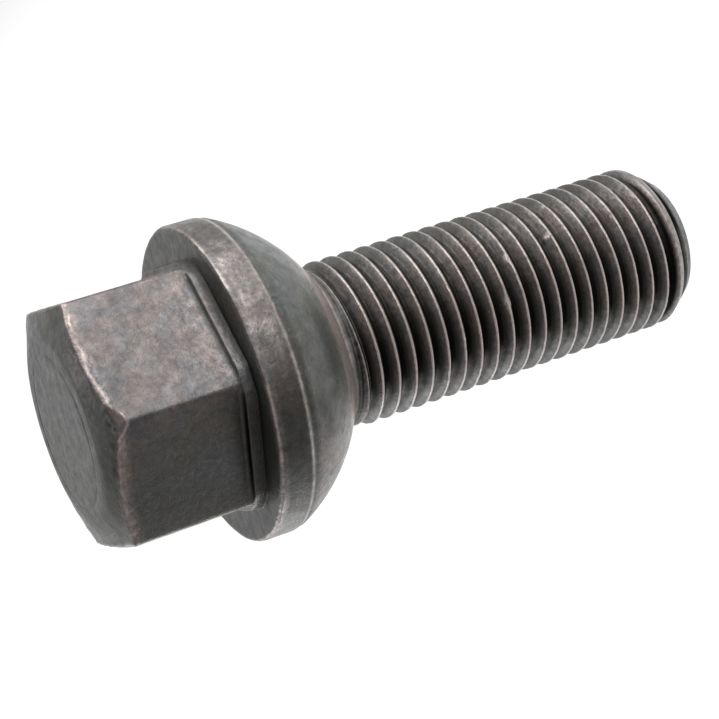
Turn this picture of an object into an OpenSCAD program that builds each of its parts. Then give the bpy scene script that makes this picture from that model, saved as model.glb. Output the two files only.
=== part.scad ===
// Wheel bolt with a ball seat: one forging with a hexagon head, a collar,
// a spherical seat and a rolled right-hand thread. Millimetres.
// The bolt stands on its threaded end: z = 0 is the end face, +Z points to
// the head, and one corner of the hexagon points along -Y.

/* [Hexagon head] */
// Width across the flats, for a 19 mm spanner
hex_af = 18.7; // [18:0.1:20]
// Height of the hexagon above the collar
head_h = 11.9; // [8:0.1:16]
// Radial depth that the rounded corners lose
corner_cut = 0.06; // [0.02:0.01:0.3]
// Diameter of the flat end face
face_d = 14.6; // [11:0.1:18]
// Angle of the conical chamfer between the face and the flats
chamfer_angle = 19.5; // [10:0.5:30]
// Middle diameter of the fine ring line on the face
ring_d = 12.3; // [6:0.1:13]
// Width of the ring line
ring_w = 0.3; // [0.1:0.05:0.6]
// Depth of the ring line
ring_depth = 0.12; // [0.05:0.01:0.3]

/* [Foot of the hexagon] */
// Height of the proud band between the collar and the flats
band_h = 0.95; // [0.5:0.05:2]
// How far the band stands out from the flats
band_proud = 0.5; // [0.4:0.05:1]
// Radius of the hollow where a flat runs into the band
band_fillet = 0.3; // [0.1:0.05:0.35]

/* [Collar and seat] */
// Diameter of the collar
collar_d = 25.7; // [22:0.1:32]
// Thickness of the collar's disc; the sphere below it adds a little to the rim
collar_t = 2.6; // [1.5:0.1:5]
// Radius of the rounded back edge of the rim
rim_edge_r = 0.35; // [0.1:0.05:0.8]
// Radius of the spherical seat
seat_r = 14; // [11:0.1:17]
// Height of the sphere's centre above the collar's back face
seat_rise = 2.76; // [1:0.01:4]

/* [Shank] */
// Length from the collar's disc to the end face
shank_l = 39.6; // [28:0.1:60]
// Diameter of the plain neck between the seat and the thread
neck_d = 13; // [11:0.1:15]
// Radius of the hollow between the seat and the neck
neck_fillet = 1; // [0.5:0.1:2]
// Diameter of the end face
tip_d = 10.8; // [9:0.1:11.8]
// Height of the cone at the threaded end
tip_cone_h = 1.9; // [1:0.1:3]

/* [Thread] */
// Crest diameter of the M14 thread
thread_d = 13.85; // [13.75:0.05:14]
// Distance between two crests
pitch = 1.5; // [1.25:0.25:1.5]
// Length of the plain neck that the thread leaves free under the seat
neck_l = 0.9; // [0.5:0.1:6]
// Length over which the thread fades out towards the neck
runout_l = 1.5; // [0.8:0.1:3]
// Height of the lowest crest above the end face
lead_in = 0.8; // [0:0.1:1.5]

/* [Hidden] */

// Circles are smooth in the exact model; this is for the preview only
$fn = 96;
// Overlap and overshoot of shapes that are joined or cut
eps = 0.2;

// Hexagon
corner_r = hex_af / 2 / cos(30) - corner_cut;
collar_back_z = shank_l + collar_t;
head_top_z = collar_back_z + head_h;
chamfer_drop = (corner_r - face_d / 2) * tan(chamfer_angle);

// Seat: the collar's rim cuts the sphere off
collar_r = collar_d / 2;
seat_z = collar_back_z + seat_rise;

// Hollow between the seat and the neck: a circle that touches both
neck_r = neck_d / 2;
hollow_x = neck_r + neck_fillet;
hollow_z = seat_z - sqrt(pow(seat_r + neck_fillet, 2) - hollow_x * hollow_x);
// Its touching point on the sphere, carried on a little way into the metal
touch = (seat_r - eps) / (seat_r + neck_fillet);
touch_x = hollow_x * touch;
touch_z = seat_z + (hollow_z - seat_z) * touch;

// Thread: 60 degree flanks, crests an eighth and roots a quarter of a pitch wide
crest_r = thread_d / 2;
root_r = crest_r - pitch * cos(30) * 5 / 8;
thread_end_z = hollow_z - neck_l;
full_thread_z = thread_end_z - runout_l;
groove_count = floor((thread_end_z - lead_in) / pitch);

// Groove between two crests; its root climbs to the neck where the thread fades
module groove_outline(z) {
    fade = max(0, min(1, (z - full_thread_z) / runout_l));
    bottom_r = root_r + (neck_r - root_r) * fade;
    side_h = (crest_r + eps - bottom_r) * tan(30) + pitch / 8;
    polygon([
        [bottom_r, z - pitch / 8],
        [crest_r + eps, z - side_h],
        [crest_r + eps, z + side_h],
        [bottom_r, z + pitch / 8]
    ]);
}

// Shank in one outline: the cone at the tip, the crests, the fade-out and
// the neck, which reaches up into the sphere
module shank() {
    rotate_extrude()
        difference() {
            polygon([
                [0, 0],
                [tip_d / 2, 0],
                [crest_r, tip_cone_h],
                [crest_r, full_thread_z],
                [neck_r, thread_end_z],
                [neck_r, seat_z - seat_r / 2],
                [0, seat_z - seat_r / 2]
            ]);
            for (i = [0 : groove_count])
                groove_outline(lead_in + (i + 0.5) * pitch);
        }
}

// Sphere and collar in one outline: the rim is where the sphere is cut off
module seat_outline() {
    difference() {
        union() {
            intersection() {
                translate([0, seat_z])
                    circle(r = seat_r);
                translate([0, seat_z - seat_r])
                    square([collar_r, seat_r - seat_rise]);
            }
            translate([0, shank_l])
                square([collar_r, collar_t]);
        }
        translate([collar_r - rim_edge_r, collar_back_z - rim_edge_r])
            difference() {
                square(rim_edge_r + eps);
                circle(r = rim_edge_r);
            }
    }
}

// Metal left between the sphere, the neck and the hollow's circle
module hollow_outline() {
    difference() {
        polygon([
            [0, hollow_z],
            [hollow_x, hollow_z],
            [touch_x, touch_z],
            [0, touch_z]
        ]);
        translate([hollow_x, hollow_z])
            circle(r = neck_fillet);
    }
}

module seat() {
    rotate_extrude()
        union() {
            seat_outline();
            hollow_outline();
        }
}

// Outline of the hexagon seen along one pair of flats, with the band and
// the hollow at its foot
module flats_outline() {
    foot_z = collar_back_z - eps;
    band_top_z = collar_back_z + band_h;
    band_w = hex_af + 2 * band_proud;
    translate([-hex_af / 2, foot_z])
        square([hex_af, head_top_z - foot_z]);
    translate([-band_w / 2, foot_z])
        square([band_w, band_top_z - foot_z]);
    for (side = [-1, 1])
        difference() {
            translate([side * hex_af / 2 - (side < 0 ? band_fillet : 0), band_top_z - eps])
                square([band_fillet, band_fillet + eps]);
            translate([side * (hex_af / 2 + band_fillet), band_top_z + band_fillet])
                circle(r = band_fillet);
        }
}

// Chamfered round blank that the hexagon is cut from, with the ring line
module head_blank() {
    rotate_extrude()
        difference() {
            polygon([
                [0, collar_back_z - eps],
                [corner_r, collar_back_z - eps],
                [corner_r, head_top_z - chamfer_drop],
                [face_d / 2, head_top_z],
                [0, head_top_z]
            ]);
            translate([ring_d / 2 - ring_w / 2, head_top_z - ring_depth])
                square([ring_w, ring_depth + eps]);
        }
}

// Three pairs of flats and the blank, all at once
module head() {
    intersection() {
        head_blank();
        pair_of_flats();
        rotate(60)
            pair_of_flats();
        rotate(120)
            pair_of_flats();
    }
}

module pair_of_flats() {
    rotate([90, 0, 0])
        linear_extrude(height = collar_d, center = true)
            flats_outline();
}

module wheel_bolt() {
    color([0.36, 0.35, 0.34]) {
        shank();
        seat();
        head();
    }
}

wheel_bolt();
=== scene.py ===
"""Looks of the wheel bolt: one closed skin with the real helix of the thread,
worn edges and small dents, in a dark phosphate finish, on a pale floor.

The skin is a grid. Its columns run round the bolt, and its rows run from the
middle of the head's face down to the middle of the threaded end. The rows on
the thread climb with the helix, so that crests and roots are clean lines.
Up to the mesh, lengths are millimetres and angles degrees from +X toward +Y.
"""

import math

import bpy  # noqa: E402
import numpy as np  # noqa: E402
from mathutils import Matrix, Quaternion, Vector  # noqa: E402


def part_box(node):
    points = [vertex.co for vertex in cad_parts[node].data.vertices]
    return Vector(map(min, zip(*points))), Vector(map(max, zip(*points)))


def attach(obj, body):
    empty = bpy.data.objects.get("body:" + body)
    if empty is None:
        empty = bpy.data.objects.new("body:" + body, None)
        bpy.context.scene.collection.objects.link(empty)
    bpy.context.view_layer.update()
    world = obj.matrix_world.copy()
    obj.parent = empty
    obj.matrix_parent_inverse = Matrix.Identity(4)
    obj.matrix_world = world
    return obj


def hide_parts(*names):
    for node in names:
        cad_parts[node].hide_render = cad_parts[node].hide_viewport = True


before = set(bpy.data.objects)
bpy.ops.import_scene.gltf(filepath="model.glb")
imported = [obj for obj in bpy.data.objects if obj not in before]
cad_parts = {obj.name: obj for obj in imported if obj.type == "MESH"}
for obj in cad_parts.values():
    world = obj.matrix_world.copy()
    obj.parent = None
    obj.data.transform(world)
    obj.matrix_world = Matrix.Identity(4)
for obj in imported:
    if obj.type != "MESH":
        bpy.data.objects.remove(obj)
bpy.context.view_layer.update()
NODE = "wheel_bolt"
MM = 0.001

# Sizes of the part. Most are those of its source; the face, crests, roots, cone
# and hollow differ by up to 0.2 mm, as the photo shows them
node_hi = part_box(NODE)[1]
TOP_Z = node_hi.z / MM
COLLAR_R = node_hi.x / MM
APOTHEM = 9.35
CORNER_R = 10.737
CORNER_SHARPNESS = 220.0
FACE_R = 7.37
FACE_SHIFT = 0.2
CHAMFER_TAN = math.tan(math.radians(19.5))
RING_R = 6.15
BACK_Z = 42.2
BAND_TOP_Z = 43.15
BAND_PROUD = 0.5
BAND_HOLLOW = 0.35
SEAT_R = 14.0
SEAT_Z = 44.96
RIM_FRONT_Z = SEAT_Z - math.sqrt(SEAT_R**2 - COLLAR_R**2)
RIM_ROUND = 0.35
NECK_R = 6.5
HOLLOW_R = 1.0
HOLLOW_X = NECK_R + HOLLOW_R
HOLLOW_Z = SEAT_Z - math.sqrt((SEAT_R + HOLLOW_R) ** 2 - HOLLOW_X**2)

# The cone at the tip is steeper above its knee
TIP_R = 5.4
KNEE_Z = 1.5
KNEE_RISE = 1.1
CONE_TOP_Z = 2.1
CONE_RISE = 0.4

PITCH = 1.5
CREST_R = 6.9
THREAD_DEPTH = 0.86
# The groove next to the tip is deeper by this much
TIP_EXTRA_DEPTH = 0.55
# Height of a crest at angle 0; the helix is right-handed
CREST_Z0 = 30.86
# The crests begin to fall at FADE_Z, and above NECK_Z the neck is plain
FADE_Z = 31.2
FADED_Z = 31.75
NECK_Z = 31.9
# Phases of the run-out's upper edge, its fine groove and its lower edge
UPPER_EDGE, FINE_GROOVE, LOWER_EDGE = 0.17, 0.27, 0.37
EDGE_WIDTH = 0.04
FINE_GROOVE_DEPTH = 0.12
LOWER_EDGE_RISE = 0.18
# Heights where each begins, is full, is still full and ends: the turn that runs
# out, the rough strip on the neck, and the groove next to the tip
LAST_TURN_Z = (30.85, 31.0, 31.8, 32.3)
STRIP_Z = (31.5, 31.7, 32.3, 32.5)
TIP_GROOVE_Z = (0.6, 0.75, 1.45, 1.6)

# Directions of the flat that faces the light and of the one that lies in shade
BRIGHT_FLAT = 300
DARK_FLAT = 240

# Grid
COLUMNS = 264
SECTOR = 60.0
# Phases of the rows within one pitch, counted down from the crest
PHASES = (0.0, 0.045, 0.08, 0.17, 0.27, 0.37, 0.5, 0.63, 0.73, 0.83, 0.92, 0.955)
SPIRAL_TOP_Z = 33.2
SNAP = 0.02
rng = np.random.default_rng(7)


def lattice(ix, iy, iz, seed):
    """A fixed pseudo-random number from 0 to 1 for each lattice point."""
    h = ix * 374761393 + iy * 668265263 + iz * 2147483647 + seed * 1274126177
    h = (h ^ (h >> 13)) & 0xFFFFFFFF
    h = (h * 1274126177) & 0xFFFFFFFF
    h = (h ^ (h >> 16)) & 0xFFFFFFFF
    return h / 0xFFFFFFFF


def noise(points, cell, seed):
    """Smooth noise from -1 to 1 with lumps about one cell (mm) wide."""
    q = np.asarray(points, float) / cell
    base = np.floor(q).astype(np.int64)
    f = q - base
    f = f * f * (3 - 2 * f)
    total = 0
    for dx in (0, 1):
        for dy in (0, 1):
            for dz in (0, 1):
                w = (
                    np.where(dx, f[:, 0], 1 - f[:, 0])
                    * np.where(dy, f[:, 1], 1 - f[:, 1])
                    * np.where(dz, f[:, 2], 1 - f[:, 2])
                )
                total = total + w * lattice(
                    base[:, 0] + dx, base[:, 1] + dy, base[:, 2] + dz, seed
                )
    return total * 2 - 1


def turn_noise(theta, z, cell, seed):
    """Noise along a line that goes round the bolt."""
    a = np.radians(theta)
    points = np.stack([10 * np.cos(a), 10 * np.sin(a), z + 0 * a], 1)
    return noise(points, cell, seed)


def patches_of(theta, z, cell, seed):
    """The same noise in clearer patches, from 0 to 1."""
    return np.clip(0.5 + 0.7 * turn_noise(theta, z, cell, seed), 0, 1)


def smoothstep(a, b, x):
    """0 at a and before it, 1 at b and beyond it; a may be above b."""
    t = np.clip((x - a) / (b - a), 0, 1)
    return t * t * (3 - 2 * t)


def between(low, low_full, high_full, high, x):
    """1 from low_full to high_full, fading to 0 at low and high."""
    return smoothstep(low, low_full, x) * smoothstep(high, high_full, x)


def bell(x, centre, width, power=2):
    """1 at the centre and fading on both sides, squarer with a higher power."""
    return np.exp(-(((x - centre) / width) ** power))


def facing(theta, direction):
    """1 on the side that faces a direction, -1 on the opposite side."""
    return np.cos(np.radians(theta - direction))


# Columns: even on the round parts, and closer together at the hexagon's corners
even = np.arange(COLUMNS) * 360.0 / COLUMNS
from_corner = (even - 30 + SECTOR / 2) % SECTOR - SECTOR / 2
corners = even - from_corner
# place of a column from -1 to 1 between the middles of two flats
u = from_corner / (SECTOR / 2)
hexed = corners + SECTOR / 2 * (0.55 * u + 0.45 * u**3)


def outline(theta, proud=0.0):
    """Radius of the hexagon, or of the band that stands proud of it."""
    total = (1 / CORNER_R) ** CORNER_SHARPNESS + 0 * theta
    for k in range(6):
        c = facing(theta, k * SECTOR)
        total = total + (np.maximum(c, 0.05) / (APOTHEM + proud)) ** CORNER_SHARPNESS
    return total ** (-1 / CORNER_SHARPNESS)


rows = []


def row(theta, r, z, wear_and_highlight=0.0, rubbed_and_painted_light=0.0, residue_and_shade=0.0):
    """Adds one ring of the skin. Its three values are bare metal, from wear and in places a
    painted highlight; the thin pinkish coat, in places painted light; and black, from dirt in
    hollows and much painted shade."""
    values = (theta, r, z, wear_and_highlight, rubbed_and_painted_light, residue_and_shade)
    rows.append([np.broadcast_to(a, theta.shape).astype(float) for a in values])


# Face with its ring line
face_r = FACE_R + FACE_SHIFT * np.cos(np.radians(hexed))
for r in (0.7, 1.5, 2.4, 3.3, 4.2, 5.0, 5.6):
    row(hexed, r, TOP_Z, 0.27)
ring_cut = 0.03 + 0.02 * turn_noise(hexed, 54.0, 2.0, 2)
for r, drop in ((-0.12, 0), (-0.04, 1), (0.04, 1), (0.12, 0)):
    row(hexed, RING_R + r, TOP_Z - drop * ring_cut)
row(hexed, RING_R + 0.4, TOP_Z, 0.1)
for r, drop, wear_and_highlight in ((-0.3, 0.01, 0.2), (-0.08, 0.03, 0.25), (0.08, 0.07, 0.1)):
    row(hexed, face_r + r, TOP_Z - drop, wear_and_highlight)

# Chamfer, with painted light on the side that faces the light and painted shade toward the flat in
# shade
hex_r = outline(hexed)
crease_z = TOP_Z - (hex_r - FACE_R) * CHAMFER_TAN
chamfer_painted_light = 0.4 * bell(hexed, BRIGHT_FLAT, 22)
chamfer_painted_shade = 0.38 * bell(hexed, 232, 28, 4)
for t in (0.2, 0.4, 0.6, 0.8):
    row(hexed, face_r + (hex_r - face_r) * t, TOP_Z - (TOP_Z - crease_z) * t,
        1.5 * chamfer_painted_light, 0.6 * chamfer_painted_light, chamfer_painted_shade)

# Burr where the chamfer meets the flats
burr = patches_of(hexed, 53.0, 0.6, 3)
fine = patches_of(hexed, 51.0, 0.42, 13)
wobble = 0.1 * turn_noise(hexed, 53.0, 1.1, 4) + 0.07 * turn_noise(hexed, 53.0, 0.5, 5)
row(hexed, hex_r - 0.34 + wobble, crease_z + 0.33 * CHAMFER_TAN, 0.2 * burr, 0.3)
row(hexed, hex_r - 0.14 + 0.12 * fine, crease_z + 0.05 + 0.5 * wobble, 0.45 + 0.3 * fine, 0.8)
row(hexed, hex_r + 0.05 * burr, crease_z - 0.1 + wobble, 0.45 + 0.4 * burr, 1)
row(hexed, hex_r + 0.06 * fine, crease_z - 0.28 + 1.3 * wobble, 0.4 + 0.45 * fine, 1)
row(hexed, hex_r + 0.04 * (1 - burr), crease_z - 0.48 + 1.6 * wobble, 0.65 - 0.4 * burr, 1)
row(hexed, hex_r, crease_z - 0.72 + 1.2 * wobble, 0.3 * fine, 1)

# Flats, worn at the corners. As painted light, more of the thin coat lies toward the light and
# less on the flat in shade; the flat that faces the light is painted darker near the chamfer and
# lighter toward the collar, and the flat in shade is painted darker into the hollow
hollow_z = BAND_TOP_Z + BAND_HOLLOW
bright_side = bell(hexed, BRIGHT_FLAT, 32, 4)
dark_side = bell(hexed, DARK_FLAT, 32, 4)
edge_worn = bell(hexed, corners, 0.6)
side_coat_and_light = 0.6 + 0.4 * facing(hexed, -35) - 0.45 * bell(hexed, DARK_FLAT, 27, 4)
flats_top_z = crease_z - 0.8
for t in (0.03, 0.06, 0.1, 0.16, 0.28, 0.42, 0.56, 0.7, 0.84, 0.95, 0.985):
    row(hexed, hex_r, flats_top_z + (hollow_z - flats_top_z) * t,
        0.12 * edge_worn + 0.52 * t**2 * bright_side,
        side_coat_and_light - 0.1 * (1 - t) * bright_side,
        0.3 * (1 - t) * bright_side + 0.6 * smoothstep(0.88, 1.0, t) * dark_side)

# Foot: the hollow, the proud band and the collar's back. The hollow is darkened with painted
# shade, most on the shaded side, and so are the band's top on that side and its foot; the band is
# painted lighter on the side that faces the light
for k, hollow_shade in enumerate((0.4, 0.6, 0.8, 0.8, 0.5)):
    a = math.radians(90.0 * k / 4)
    proud = BAND_PROUD * (1 - math.cos(a))
    row(hexed, outline(hexed, proud), hollow_z - BAND_HOLLOW * math.sin(a), 0, 0.4,
        hollow_shade * (0.35 + 0.9 * dark_side))
band_r = outline(hexed, BAND_PROUD)
band_coat_and_light = 0.3 + 0.4 * bright_side
row(hexed, band_r + 0.01, BAND_TOP_Z - 0.07, 0.3 * bright_side, band_coat_and_light, 0.3 * dark_side)
row(hexed, band_r + 0.01, BAND_TOP_Z - 0.35, 0.35 * bright_side, band_coat_and_light)
row(hexed, band_r + 0.01, BACK_Z + 0.14, 0.1 * bright_side, 0.3, 0.2)

# Painted shade in the corner between the band and the collar's back, all round and strongest near
# angle 270, and a dark wedge of painted shade on the collar's back near angle 275
corner_shade = bell(hexed, 268, 60, 4)
row(hexed, band_r + 0.01, BACK_Z + 0.03, 0, 0.2, 0.5 + 0.3 * corner_shade)
row(hexed, band_r + 0.02, BACK_Z, 0, 0, 0.6 + 0.4 * corner_shade)
shade_wedge = bell(hexed, 275, 52, 6)
for k, t in enumerate((0.12, 0.3, 0.5, 0.7, 0.88)):
    theta = hexed + (even - hexed) * (k + 1) / 6
    row(theta, band_r + (COLLAR_R - RIM_ROUND - band_r) * t, BACK_Z, 0, 0,
        np.maximum((1 - t) * 0.9 * corner_shade, (1 - 0.5 * t) * 0.75 * shade_wedge))

# Collar: worn edges with a little burr, and scuffs on the rim. The rim is painted barer and with
# more thin coat near angle 300, as painted light, and darker near angle 238, as painted shade
lip = patches_of(even, 42.0, 0.9, 6)
lump = patches_of(even, 41.0, 0.5, 16)
for a, wear_and_highlight in ((0, 0.1), (25, 0.4), (50, 0.8), (75, 0.55), (90, 0.3)):
    ra = math.radians(a)
    z = BACK_Z - RIM_ROUND * (1 - math.cos(ra)) + 0.06 * (lip - 0.4) * math.sin(ra)
    r = COLLAR_R - RIM_ROUND * (1 - math.sin(ra)) - 0.05 * lump * math.sin(ra)
    row(even, r, z, wear_and_highlight * (0.6 + 0.35 * lip + 0.3 * lump), 0.7)
rim_top = BACK_Z - RIM_ROUND
rim_painted_light = 0.42 * bell(even, 302, 26)
rim_coat_and_light = 0.25 + 0.4 * bell(even, 295, 38, 4)
rim_painted_shade = 0.45 * bell(even, 238, 32, 4)
for t in (0.2, 0.4, 0.6, 0.8):
    z = rim_top + (RIM_FRONT_Z + 0.38 - rim_top) * t
    scuffs = 0.45 * np.clip(turn_noise(even, z, 0.9, 31), -0.1, 1)
    row(even, COLLAR_R - 0.01, z, np.clip(rim_painted_light + scuffs, 0, 1), rim_coat_and_light, rim_painted_shade)
front = patches_of(even, 39.4, 0.6, 8)
row(even, COLLAR_R - 0.01, RIM_FRONT_Z + 0.36, rim_painted_light + 0.2 * front, rim_coat_and_light, rim_painted_shade)
row(even, COLLAR_R - 0.03, RIM_FRONT_Z + 0.2, 0.6 + 0.25 * front, rim_coat_and_light)
row(even, COLLAR_R - 0.07, RIM_FRONT_Z + 0.06, 0.7 + 0.25 * front, rim_coat_and_light)
row(even, COLLAR_R - 0.13, RIM_FRONT_Z - 0.06, 0.2, 0.5 * rim_coat_and_light)
row(even, COLLAR_R - 0.21, RIM_FRONT_Z - 0.19, 0, 0.1)


def shank_profile(z):
    """Radius of the sphere, the hollow and the neck at a height below the rim."""
    z = np.asarray(z, float)
    sphere = np.sqrt(np.maximum(SEAT_R**2 - (SEAT_Z - z) ** 2, 0))
    touch_z = SEAT_Z + (HOLLOW_Z - SEAT_Z) * SEAT_R / (SEAT_R + HOLLOW_R)
    dz = np.clip(z - HOLLOW_Z, 0, HOLLOW_R)
    hollow = HOLLOW_X - np.sqrt(np.maximum(HOLLOW_R**2 - dz**2, 0))
    return np.where(z > touch_z, sphere, np.where(z > HOLLOW_Z, hollow, NECK_R))


def sphere_angle(z):
    """Angle below the sphere's middle, in radians, at a height."""
    return math.asin((SEAT_Z - z) / SEAT_R)


# Sphere: barer and lighter at its low end and on the side toward angle 223, which faces down in
# the camera's view, as painted highlight. A dark band near angle 273 and a dark spot near angle
# 252 are painted shade
under_side_highlight = bell(even, 223, 22, 4)
first_angle = sphere_angle(RIM_FRONT_Z - 0.36)
last_angle = sphere_angle(SPIRAL_TOP_Z)
for t in np.linspace(0, 1, 14)[:-1]:
    a = first_angle + (last_angle - first_angle) * t
    z = SEAT_Z - SEAT_R * math.sin(a)
    low_end_highlight = smoothstep(35.0, 34.2, z)
    shaded = bell(z, 35.7, 0.8) * bell(even, 273, 26, 4)
    shade_spot = bell(z, 37.7, 1.2) * bell(even, 252, 10)
    row(even, SEAT_R * math.cos(a), z, np.maximum(0.75 * low_end_highlight, 0.42 * under_side_highlight),
        np.maximum(low_end_highlight, 0.7 * under_side_highlight), 0.5 * shaded + 0.5 * shade_spot)


def crest_profile(phase, broader):
    """Depth below the crest over one pitch, from 0 at the crest to 1 at the root."""
    p = np.abs((phase + 0.5) % 1.0 - 0.5)
    flank = np.clip((p - 0.07 - broader) / (0.3 - broader), 0, 1)
    rounded = np.clip(0.04 - 0.4 * broader, 0, 1) * np.clip((p - 0.03) / 0.05, 0, 1)
    root = 0.05 * smoothstep(0.33, 0.5, p)
    return np.clip(flank * 0.93 + rounded * (1 - flank) + root, 0, 1)


def thread_point(theta, z, phase):
    """The threaded shank: radius, height, bare metal, thin coat and black residue, with some
    painted light in the bare metal and painted shade in the black.

    The thread is pressed into a blank: the cone at the tip, the crests' cylinder,
    and the neck, where the last groove runs out under two fine edges.
    """
    # The blank
    cone = np.where(z < KNEE_Z, TIP_R + KNEE_RISE * z / KNEE_Z,
                    TIP_R + KNEE_RISE + CONE_RISE * (z - KNEE_Z) / (CONE_TOP_Z - KNEE_Z))
    fading = NECK_R + (CREST_R - NECK_R) * smoothstep(FADED_Z, FADE_Z, z)
    blank = np.minimum(np.where(z > NECK_Z, shank_profile(z), fading), cone)

    # The groove, with a broader last crest and a deeper groove at the tip
    near_tip = smoothstep(2.85, 2.55, z)
    broader = near_tip * np.where(phase < 0.5, 0.2, 0.12 * smoothstep(1.4, 1.6, z))
    deep = THREAD_DEPTH + TIP_EXTRA_DEPTH * near_tip * smoothstep(0.4, 0.8, z)
    ending = smoothstep(31.4, 32.3, z)
    rolled = CREST_R - deep * crest_profile(phase, broader) + 0.8 * ending

    # The run-out: two fine edges with a groove between them, and a rough strip
    last_turn = between(*LAST_TURN_Z, z)
    upper_edge = last_turn * bell(phase, UPPER_EDGE, EDGE_WIDTH)
    groove = last_turn * bell(phase, FINE_GROOVE, EDGE_WIDTH)
    lower_edge = last_turn * bell(phase, LOWER_EDGE, EDGE_WIDTH)
    rolled = rolled - FINE_GROOVE_DEPTH * groove + LOWER_EDGE_RISE * lower_edge
    r = np.minimum(blank, rolled)
    below_blank = blank - r
    share = below_blank / np.maximum(blank - (CREST_R - THREAD_DEPTH), 0.1)
    rough = turn_noise(theta, z, 0.25, 21)
    strip = between(*STRIP_Z, z)
    r = r + 0.025 * rough * strip

    # Bare metal on crests and edges, a little less on the crests of the lit side. The flanks on
    # the lit side are made barer as painted light, and the band where the hollow meets the sphere
    # as a painted highlight
    lit_side = np.maximum(facing(theta, 325), 0) ** 2
    on_blank = 1 - smoothstep(0.01, 0.09, below_blank)
    crest_wear = (1 - 0.2 * lit_side) * smoothstep(NECK_Z, FADE_Z, z)
    wear_and_highlight = on_blank * (crest_wear + 0.3 * strip * (rough > 0.1))
    # Painted highlight: the band where the hollow meets the sphere is made bare
    wear_and_highlight = np.maximum(wear_and_highlight, 0.6 * smoothstep(32.4, 32.6, z))
    wear_and_highlight = wear_and_highlight * (0.35 + 0.65 * smoothstep(1.0, 1.3, z)) * (1 - 0.25 * near_tip)
    wear_and_highlight = np.maximum(wear_and_highlight, 0.9 * upper_edge + 0.5 * lower_edge)
    painted_light_side = smoothstep(0.75, 0.95, facing(theta, 305))
    wear_and_highlight = np.maximum(wear_and_highlight, 0.4 * painted_light_side * smoothstep(1.5, 2.2, z) * (z < 31.5))

    # Thin coat on the front
    front_side = smoothstep(0.45, 0.85, facing(theta, 277))
    rubbed_and_painted_light = (0.2 + 0.55 * front_side) * (1 - 0.4 * strip)
    rubbed_and_painted_light = rubbed_and_painted_light * (0.3 + 0.7 * smoothstep(0.9, 1.3, z))

    # Black in the grooves, most of it at the tip, and stains on the strip: residue, and painted
    # shade that is darker away from the light and lighter in the grooves around angle 210
    residue_and_shade = (share - 0.2 - 0.36 * lit_side) / (0.72 - 0.32 * lit_side)
    residue_and_shade = smoothstep(0, 1, residue_and_shade) * smoothstep(0.03, 0.12, below_blank)
    residue_and_shade = residue_and_shade * (1 - 0.14 * lit_side)
    low_side = smoothstep(0.92, 0.99, facing(theta, 210)) * smoothstep(2.5, 5, z)
    residue_and_shade = residue_and_shade * (1 - 0.3 * low_side) * (1 - 0.8 * lower_edge)
    residue_and_shade = np.maximum(residue_and_shade, groove)
    tip_groove = between(*TIP_GROOVE_Z, z) * smoothstep(0.02, 0.09, below_blank)
    tip_flank = near_tip * smoothstep(0.05, 0.25, below_blank)
    residue_and_shade = np.maximum(residue_and_shade, np.maximum(0.97 * tip_groove, 0.85 * tip_flank))
    lines = 0.2 * np.sin((z - STRIP_Z[0]) * 19)
    stain_and_shade = strip * (0.75 - 0.45 * lit_side + 0.15 * rough + lines) * (1 - upper_edge)
    residue_and_shade = np.maximum(residue_and_shade, stain_and_shade)

    # The fine edges and their groove lie a little lower from angle 180 to 235
    slide = 0.16 * smoothstep(300, 235, theta) * smoothstep(100, 180, theta)
    z = z - slide * last_turn * smoothstep(0.5, 0.37, phase) * smoothstep(0.0, 0.1, phase)
    return r, z, np.clip(wear_and_highlight, 0, 1), rubbed_and_painted_light, np.clip(residue_and_shade, 0, 1)


# Small marks that the crests have taken: (angle, height, length round, depth).
# The first ones are clear to see: the crest is pressed flat and bare there
CLEAR_NICKS = ((-66.7, 17.21, 0.5, 0.1), (-95.1, 18.48, 0.75, 0.1), (-110.7, 22.87, 0.28, 0.06),
               (-62.3, 23.22, 0.2, 0.05), (-60.2, 13.00, 0.3, 0.06), (-35.9, 5.00, 0.3, 0.06),
               (-47.6, 3.64, 0.3, 0.06), (-59.1, 6.61, 0.3, 0.07), (-133.4, 24.28, 0.4, 0.08))
small_nicks = []
for _ in range(150):
    a, k = rng.uniform(0, 360), rng.integers(0, 20)
    small_nicks.append((a, CREST_Z0 - k * PITCH + PITCH * a / 360,
                        rng.uniform(0.1, 0.35), rng.uniform(0.015, 0.045)))


def bump_at(theta, z, at, size):
    """A soft spot at (angle, height), size (mm round the bolt, mm along it)."""
    dt = (theta - at[0] + 180) % 360 - 180
    s = np.radians(dt) * CREST_R / size[0]
    return np.exp(-(s**2) - ((z - at[1]) / size[1]) ** 2)


def take_nicks(theta, z, r, wear_and_highlight, residue_and_shade):
    """Presses the clear nicks flat and bare, and dents the crests at the others."""
    crumbs = turn_noise(theta, z, 0.2, 33)
    for angle, height, length, cut in CLEAR_NICKS:
        size = (0.8 * length, 0.06 + 0.28 * length)
        flat = np.clip(1.8 * bump_at(theta, z, (angle, height - 0.04), size), 0, 1)
        flat = flat * np.clip(0.95 + 0.5 * crumbs, 0, 1)
        r = r + (CREST_R - cut - r) * flat
        wear_and_highlight = np.maximum(wear_and_highlight, 0.85 * flat)
        residue_and_shade = residue_and_shade * (1 - flat)
    for angle, height, length, cut in small_nicks:
        near = bump_at(theta, z, (angle, height), (length, 0.25))
        r = r - cut * near * (r > CREST_R - 0.3)
    return r, wear_and_highlight, residue_and_shade


vertices, wear_and_highlight_of, rubbed_and_painted_light_of, residue_and_shade_of = [], [], [], []


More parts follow.
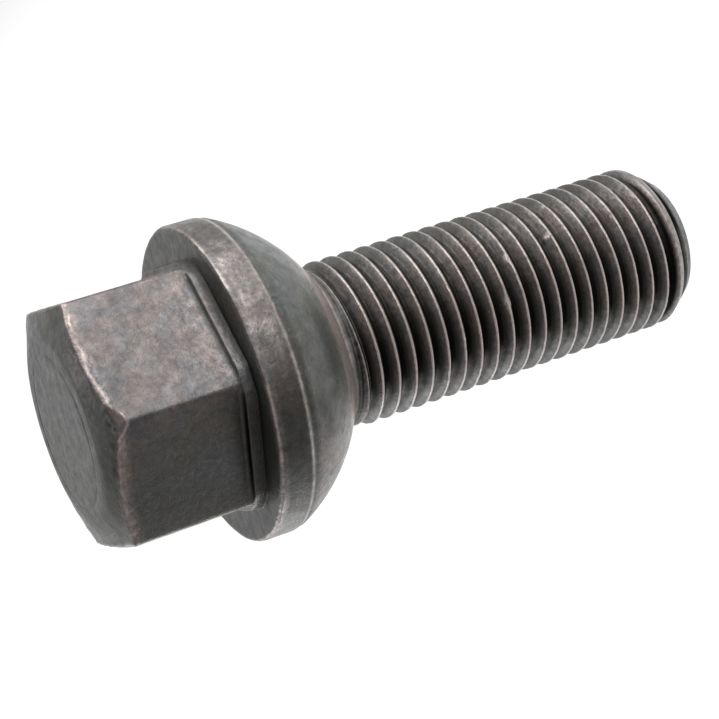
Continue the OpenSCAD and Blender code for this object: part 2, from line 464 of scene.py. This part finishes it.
def add_vertices(theta, r, z, wear_and_highlight, rubbed_and_painted_light, residue_and_shade=0.0):
    """Adds points of the skin and returns their numbers."""
    first_index = sum(len(v) for v in vertices)
    a = np.radians(theta)
    vertices.append(np.stack([r * np.cos(a), r * np.sin(a), z + 0 * a], 1))
    wear_and_highlight_of.append(np.asarray(wear_and_highlight, float) + 0 * a)
    rubbed_and_painted_light_of.append(np.asarray(rubbed_and_painted_light, float) + 0 * a)
    residue_and_shade_of.append(np.asarray(residue_and_shade, float) + 0 * a)
    return first_index + np.arange(len(a))


centre = np.zeros(1)
centre_top = add_vertices(centre, 0, TOP_Z, 0, 0)[0]
rings = [add_vertices(*values) for values in rows]
# This ring is bare and thin-coated, part of the painted highlight where the hollow meets the
# sphere
spiral_top = add_vertices(even, shank_profile(SPIRAL_TOP_Z), SPIRAL_TOP_Z, 0.65, 1)
spiral_end = add_vertices(even, TIP_R, 0, 0.3, 0.3)

# Thread: rows that follow the helix, between a flat ring above and below. The
# last column is the first one a turn further on
per_turn = len(PHASES)
turns_above = math.ceil((SPIRAL_TOP_Z - CREST_Z0) / PITCH) + 2
turns_below = math.ceil(CREST_Z0 / PITCH) + 2
spiral_theta = np.arange(COLUMNS + 1) * 360.0 / COLUMNS
spiral_z = np.array([CREST_Z0 - (k + p) * PITCH + PITCH * spiral_theta / 360.0
                     for k in range(-turns_above, turns_below) for p in PHASES])
over_top = spiral_z >= SPIRAL_TOP_Z - SNAP
under_end = spiral_z <= SNAP
own = ~over_top & ~under_end
own[:, COLUMNS] = False

# Number of each spiral point; what lies beyond a flat ring is moved to it
index = np.full(spiral_z.shape, -1, np.int64)
index[:, :COLUMNS] = np.where(over_top[:, :COLUMNS], spiral_top, spiral_end)
for j, z_of_row in enumerate(spiral_z):
    cols = np.nonzero(own[j])[0]
    if len(cols):
        theta = spiral_theta[cols]
        phase = np.full(len(cols), PHASES[j % per_turn])
        r, z, wear_and_highlight, rubbed_and_painted_light, residue_and_shade = thread_point(theta, z_of_row[cols], phase)
        r, wear_and_highlight, residue_and_shade = take_nicks(theta, z, r, wear_and_highlight, residue_and_shade)
        index[j, cols] = add_vertices(theta, r, z, wear_and_highlight, rubbed_and_painted_light, residue_and_shade)
index[:per_turn, COLUMNS] = spiral_top[0]
index[per_turn:, COLUMNS] = index[:-per_turn, 0]

faces = []


def add_face(*corner_numbers):
    """Adds a face; corners that fall together are left out."""
    kept = []
    for c in corner_numbers:
        if c not in kept:
            kept.append(int(c))
    if len(kept) > 2:
        faces.append(kept)


def bridge(upper, lower):
    """Faces between two rings."""
    for i in range(COLUMNS):
        n = (i + 1) % COLUMNS
        add_face(upper[i], lower[i], lower[n], upper[n])


for i in range(COLUMNS):
    add_face(centre_top, rings[0][i], rings[0][(i + 1) % COLUMNS])
for upper, lower in zip(rings, rings[1:]):
    bridge(upper, lower)
bridge(rings[-1], spiral_top)
for j in range(len(spiral_z) - 1):
    for i in range(COLUMNS):
        add_face(index[j, i], index[j + 1, i], index[j + 1, i + 1], index[j, i + 1])
end_rings = [add_vertices(even, r, 0, 0.1, 0.3) for r in (5.1, 3.6, 1.8)]
bridge(spiral_end, end_rings[0])
for upper, lower in zip(end_rings, end_rings[1:]):
    bridge(upper, lower)
centre_end = add_vertices(centre, 0, 0, 0, 0)[0]
for i in range(COLUMNS):
    add_face(centre_end, end_rings[-1][(i + 1) % COLUMNS], end_rings[-1][i])

points = np.concatenate(vertices)
wear_and_highlight_all = np.concatenate(wear_and_highlight_of)
rubbed_and_painted_light_all = np.concatenate(rubbed_and_painted_light_of)
residue_and_shade_all = np.concatenate(residue_and_shade_of)

# Forging is never quite true: slow waves on head and collar, kept off the thread
on_head = smoothstep(33.5, 35.0, points[:, 2])
wave = 0.02 * noise(points, 3.0, 11) + 0.008 * noise(points, 0.9, 12)
radial = points * [1, 1, 0]
distance = np.maximum(np.linalg.norm(radial, axis=1), 1e-6)
points += radial / distance[:, None] * (wave * on_head * (distance > 8))[:, None]
points[:, 2] = np.minimum(points[:, 2], TOP_Z)

# The corner that points at the camera has been knocked flat: what lies beyond a
# plane is pressed onto it, and the facet's edge is bare
FACET_AT = np.array((0, -9.9, 53.2))
FACET_REACH = 2.2
FACET_EDGE = 0.13
facet_normal = np.array((0.05, -0.796, 0.606))
facet_normal /= np.linalg.norm(facet_normal)
beyond = (points - FACET_AT) @ facet_normal
hit = beyond > 0
points[hit] -= beyond[hit, None] * facet_normal
near = np.linalg.norm(points - FACET_AT, axis=1) < FACET_REACH
wear_and_highlight_all[hit] = 0
wear_and_highlight_all[near] = np.maximum(wear_and_highlight_all[near], 0.85 * bell(beyond[near], 0, FACET_EDGE))

mesh = bpy.data.meshes.new("bolt_skin")
mesh.from_pydata((points * MM).tolist(), [], faces)
mesh.validate()
for name, values in (("wear_and_highlight", wear_and_highlight_all), ("rubbed_and_painted_light", rubbed_and_painted_light_all), ("residue_and_shade", residue_and_shade_all)):
    layer = mesh.attributes.new(name, "FLOAT", "POINT")
    layer.data.foreach_set("value", np.clip(values, 0, 1).astype(np.float32))
mesh.shade_smooth()
bolt = bpy.data.objects.new("bolt_skin", mesh)
bpy.context.scene.collection.objects.link(bolt)
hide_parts(NODE)
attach(bolt, "root")
print("bolt_skin", len(points), "vertices", sum(len(f) - 2 for f in faces), "triangles")


class Graph:
    """The shader nodes of a material or world, emptied first. An input is a
    number, a colour or another node's output."""

    def __init__(self, owner):
        owner.use_nodes = True
        self.nodes, self.links = owner.node_tree.nodes, owner.node_tree.links
        self.nodes.clear()

    def put(self, value, socket):
        if isinstance(value, (int, float)):
            socket.default_value = value
        elif isinstance(value, tuple):
            socket.default_value = (*value, 1)
        else:
            self.links.new(value, socket)

    def add(self, kind, *inputs, **named):
        """A node with its inputs, in order or by name, with _ for a space."""
        node = self.nodes.new("ShaderNode" + kind)
        for value, socket in zip(inputs, node.inputs):
            self.put(value, socket)
        for name, value in named.items():
            self.put(value, node.inputs[name.replace("_", " ")])
        return node

    def coordinates(self, kind):
        return self.add("TexCoord").outputs[kind]

    def attribute(self, name):
        node = self.add("Attribute")
        node.attribute_name = name
        return node.outputs["Fac"]

    def noise(self, coords, scale, detail, roughness=0.6):
        node = self.add("TexNoise", Vector=coords, Scale=scale, Detail=detail, Roughness=roughness)
        return node.outputs["Fac"]

    def ramp(self, value, low, high, to_low=0.0, to_high=1.0):
        node = self.add("MapRange", Value=value, From_Min=low, From_Max=high,
                        To_Min=to_low, To_Max=to_high)
        return node.outputs["Result"]

    def math(self, operation, a, b):
        node = self.add("Math", a, b)
        node.operation = operation
        return node.outputs[0]

    def mix(self, factor, a, b, blend="MIX"):
        """Mixes two colours; in this node they are inputs 6 and 7."""
        node = self.add("Mix")
        node.data_type = "RGBA"
        node.blend_type = blend
        for value, number in ((factor, 0), (a, 6), (b, 7)):
            self.put(value, node.inputs[number])
        return node.outputs[2]

    def seen_white(self, plain, white):
        """Mixes to the white shader for what the camera, gloss and glass see."""
        path = self.add("LightPath").outputs
        seen = self.math("MAXIMUM", path["Is Camera Ray"], path["Is Glossy Ray"])
        seen = self.math("MAXIMUM", seen, path["Is Transmission Ray"])
        return self.add("MixShader", seen, plain, white).outputs[0]


def phosphated_steel():
    """Two tones of dark coat and of thin coat, bare steel and black residue. The thin coat and
    bare steel also carry painted light, and the black carries painted shade.
    """
    material = bpy.data.materials.new("phosphated_steel")
    g = Graph(material)
    coords = g.coordinates("Object")
    wear_and_highlight, rubbed_and_painted_light, residue_and_shade = [g.attribute(name) for name in ("wear_and_highlight", "rubbed_and_painted_light", "residue_and_shade")]
    patches = g.noise(coords, 230, 3, 0.55)
    tint = g.noise(coords, 480, 3)
    clouds = g.noise(coords, 1000, 3)
    mottle = g.noise(coords, 2500, 3)
    grain = g.noise(coords, 8000, 2)

    coat = g.mix(g.ramp(patches, 0.42, 0.58), (0.063, 0.062, 0.049), (0.056, 0.062, 0.059))
    thin = g.mix(g.ramp(tint, 0.42, 0.58), (0.134, 0.101, 0.091), (0.108, 0.096, 0.1))
    shade = g.ramp(patches, 0.35, 0.65, 0.86, 1.14)
    for layer, low, high, weak, strong in (
            (clouds, 0.3, 0.7, 0.62, 1.38), (mottle, 0.3, 0.7, 0.74, 1.26),
            (grain, 0.3, 0.7, 0.82, 1.18), (tint, 0.27, 0.34, 0.55, 1.0)):
        shade = g.math("MULTIPLY", shade, g.ramp(layer, low, high, weak, strong))
    coated = g.mix(1.0, g.mix(rubbed_and_painted_light, coat, thin), shade, "MULTIPLY")

    worn_and_highlight = g.ramp(g.math("ADD", wear_and_highlight, g.ramp(mottle, 0.3, 0.7, -0.3, 0.3)), 0.2, 0.9)
    bare_and_highlight = g.math("MULTIPLY", worn_and_highlight, wear_and_highlight)
    steel = g.mix(rubbed_and_painted_light, (0.41, 0.39, 0.385), (0.455, 0.38, 0.352))
    # Black for residue and for painted shade; bare steel for wear and for painted highlight
    colour = g.mix(residue_and_shade, g.mix(bare_and_highlight, coated, steel), (0.004, 0.0035, 0.003))
    # The black is fully metallic, so it reflects almost nothing: painted shade that also takes the
    # reflections away
    metallic = g.math("MAXIMUM", g.ramp(bare_and_highlight, 0, 1, 0.2, 0.8), residue_and_shade)
    roughness = g.math("ADD", g.ramp(clouds, 0.3, 0.7, 0.42, 0.25), g.ramp(residue_and_shade, 0, 1, 0, 0.2))

    height = g.math("ADD", g.math("MULTIPLY", grain, 0.5), mottle)
    height = g.math("ADD", g.math("MULTIPLY", clouds, 0.8), height)
    bump = g.add("Bump", Strength=0.5, Distance=0.00006, Height=height)
    shader = g.add("BsdfPrincipled", Base_Color=colour, Metallic=metallic, Roughness=roughness,
                   IOR=1.7, Normal=bump.outputs[0])
    g.add("OutputMaterial", shader.outputs[0])
    return material


bolt.data.materials.append(phosphated_steel())

# Camera: where the photo was taken from, with the bolt lying across the picture
CAMERA_AT = Vector((8.789, -147.530, 90.474)) * MM
CAMERA_AIM = Vector((-1.741, -0.124, 29.331)) * MM
CAMERA_ROLL = -108.22
CAMERA_LENS = 99.714
camera = bpy.data.objects.new("camera", bpy.data.cameras.new("camera"))
bpy.context.scene.collection.objects.link(camera)
look = (CAMERA_AIM - CAMERA_AT).to_track_quat("-Z", "Y")
camera.rotation_mode = "QUATERNION"
camera.rotation_quaternion = look @ Quaternion((0, 0, 1), math.radians(CAMERA_ROLL))
camera.location = CAMERA_AT
camera.data.sensor_width = 36
camera.data.lens = CAMERA_LENS
camera.data.clip_start = 0.01
bpy.context.scene.camera = camera


def area_lamp(name, at, aim, width, height, power):
    """A soft lamp at a place (mm), turned to a point, sizes in mm."""
    data = bpy.data.lights.new(name, "AREA")
    data.shape = "RECTANGLE"
    data.size, data.size_y = width * MM, height * MM
    data.energy = power
    lamp = bpy.data.objects.new(name, data)
    bpy.context.scene.collection.objects.link(lamp)
    lamp.location = Vector(at) * MM
    lamp.rotation_mode = "QUATERNION"
    lamp.rotation_quaternion = (Vector(aim) - Vector(at)).to_track_quat("-Z", "Y")
    lamp.visible_camera = False


area_lamp("key", (104, -60, 31), (0, 0, 31), 160, 62, 0.12)
area_lamp("key_front", (45, -125, 22), (0, 0, 40), 70, 36, 0.013)
area_lamp("high", (130, 0, 120), (0, 0, 36), 120, 80, 0.11)
area_lamp("low_side", (-118, 45, 24), (0, 0, 36), 90, 46, 0.032)
area_lamp("back_side", (-100, 95, 95), (0, 0, 30), 90, 60, 0.04)


def studio_world():
    """Dim as a light, and white to the eye, darker toward the zenith."""
    world = bpy.data.worlds.new("studio")
    g = Graph(world)
    up = g.add("SeparateXYZ", g.coordinates("Generated")).outputs["Z"]
    plain = g.add("Background", Strength=0.12)
    white = g.add("Background", Strength=g.ramp(up, 0.75, 0.95, 0.85, 0.15))
    g.add("OutputWorld", g.seen_white(plain.outputs[0], white.outputs[0]))
    return world


def pale_floor():
    """Pale and softly glowing. To the eye and to the metal's gloss it is white
    behind the bolt, and darker close to the camera and at the right."""
    material = bpy.data.materials.new("pale_floor")
    g = Graph(material)
    pale = g.add("BsdfDiffuse", Color=(0.8, 0.8, 0.8))
    faint = g.add("Emission", Strength=0.22)
    lit = g.add("AddShader", pale.outputs[0], faint.outputs[0])
    place = g.add("SeparateXYZ", g.coordinates("Object")).outputs
    front = g.ramp(place["Y"], -0.06, -0.02, 0.12, 1.0)
    right = g.ramp(place["X"], 0.05, 0.09, 1.0, 0.5)
    glow = g.add("Emission", Strength=g.math("MULTIPLY", front, right))
    soft = g.add("BsdfDiffuse", Color=(0.25, 0.25, 0.25))
    both = g.add("AddShader", glow.outputs[0], soft.outputs[0])
    g.add("OutputMaterial", g.seen_white(lit.outputs[0], both.outputs[0]))
    return material


bpy.context.scene.world = studio_world()

FLOOR_REACH = 3.0
floor_mesh = bpy.data.meshes.new("floor")
floor_mesh.from_pydata(
    [(x * FLOOR_REACH, y * FLOOR_REACH, 0) for x, y in ((-1, -1), (1, -1), (1, 1), (-1, 1))],
    [], [(0, 1, 2, 3)])
floor = bpy.data.objects.new("floor", floor_mesh)
bpy.context.scene.collection.objects.link(floor)
floor.data.materials.append(pale_floor())

bpy.context.scene.view_settings.view_transform = "Standard"
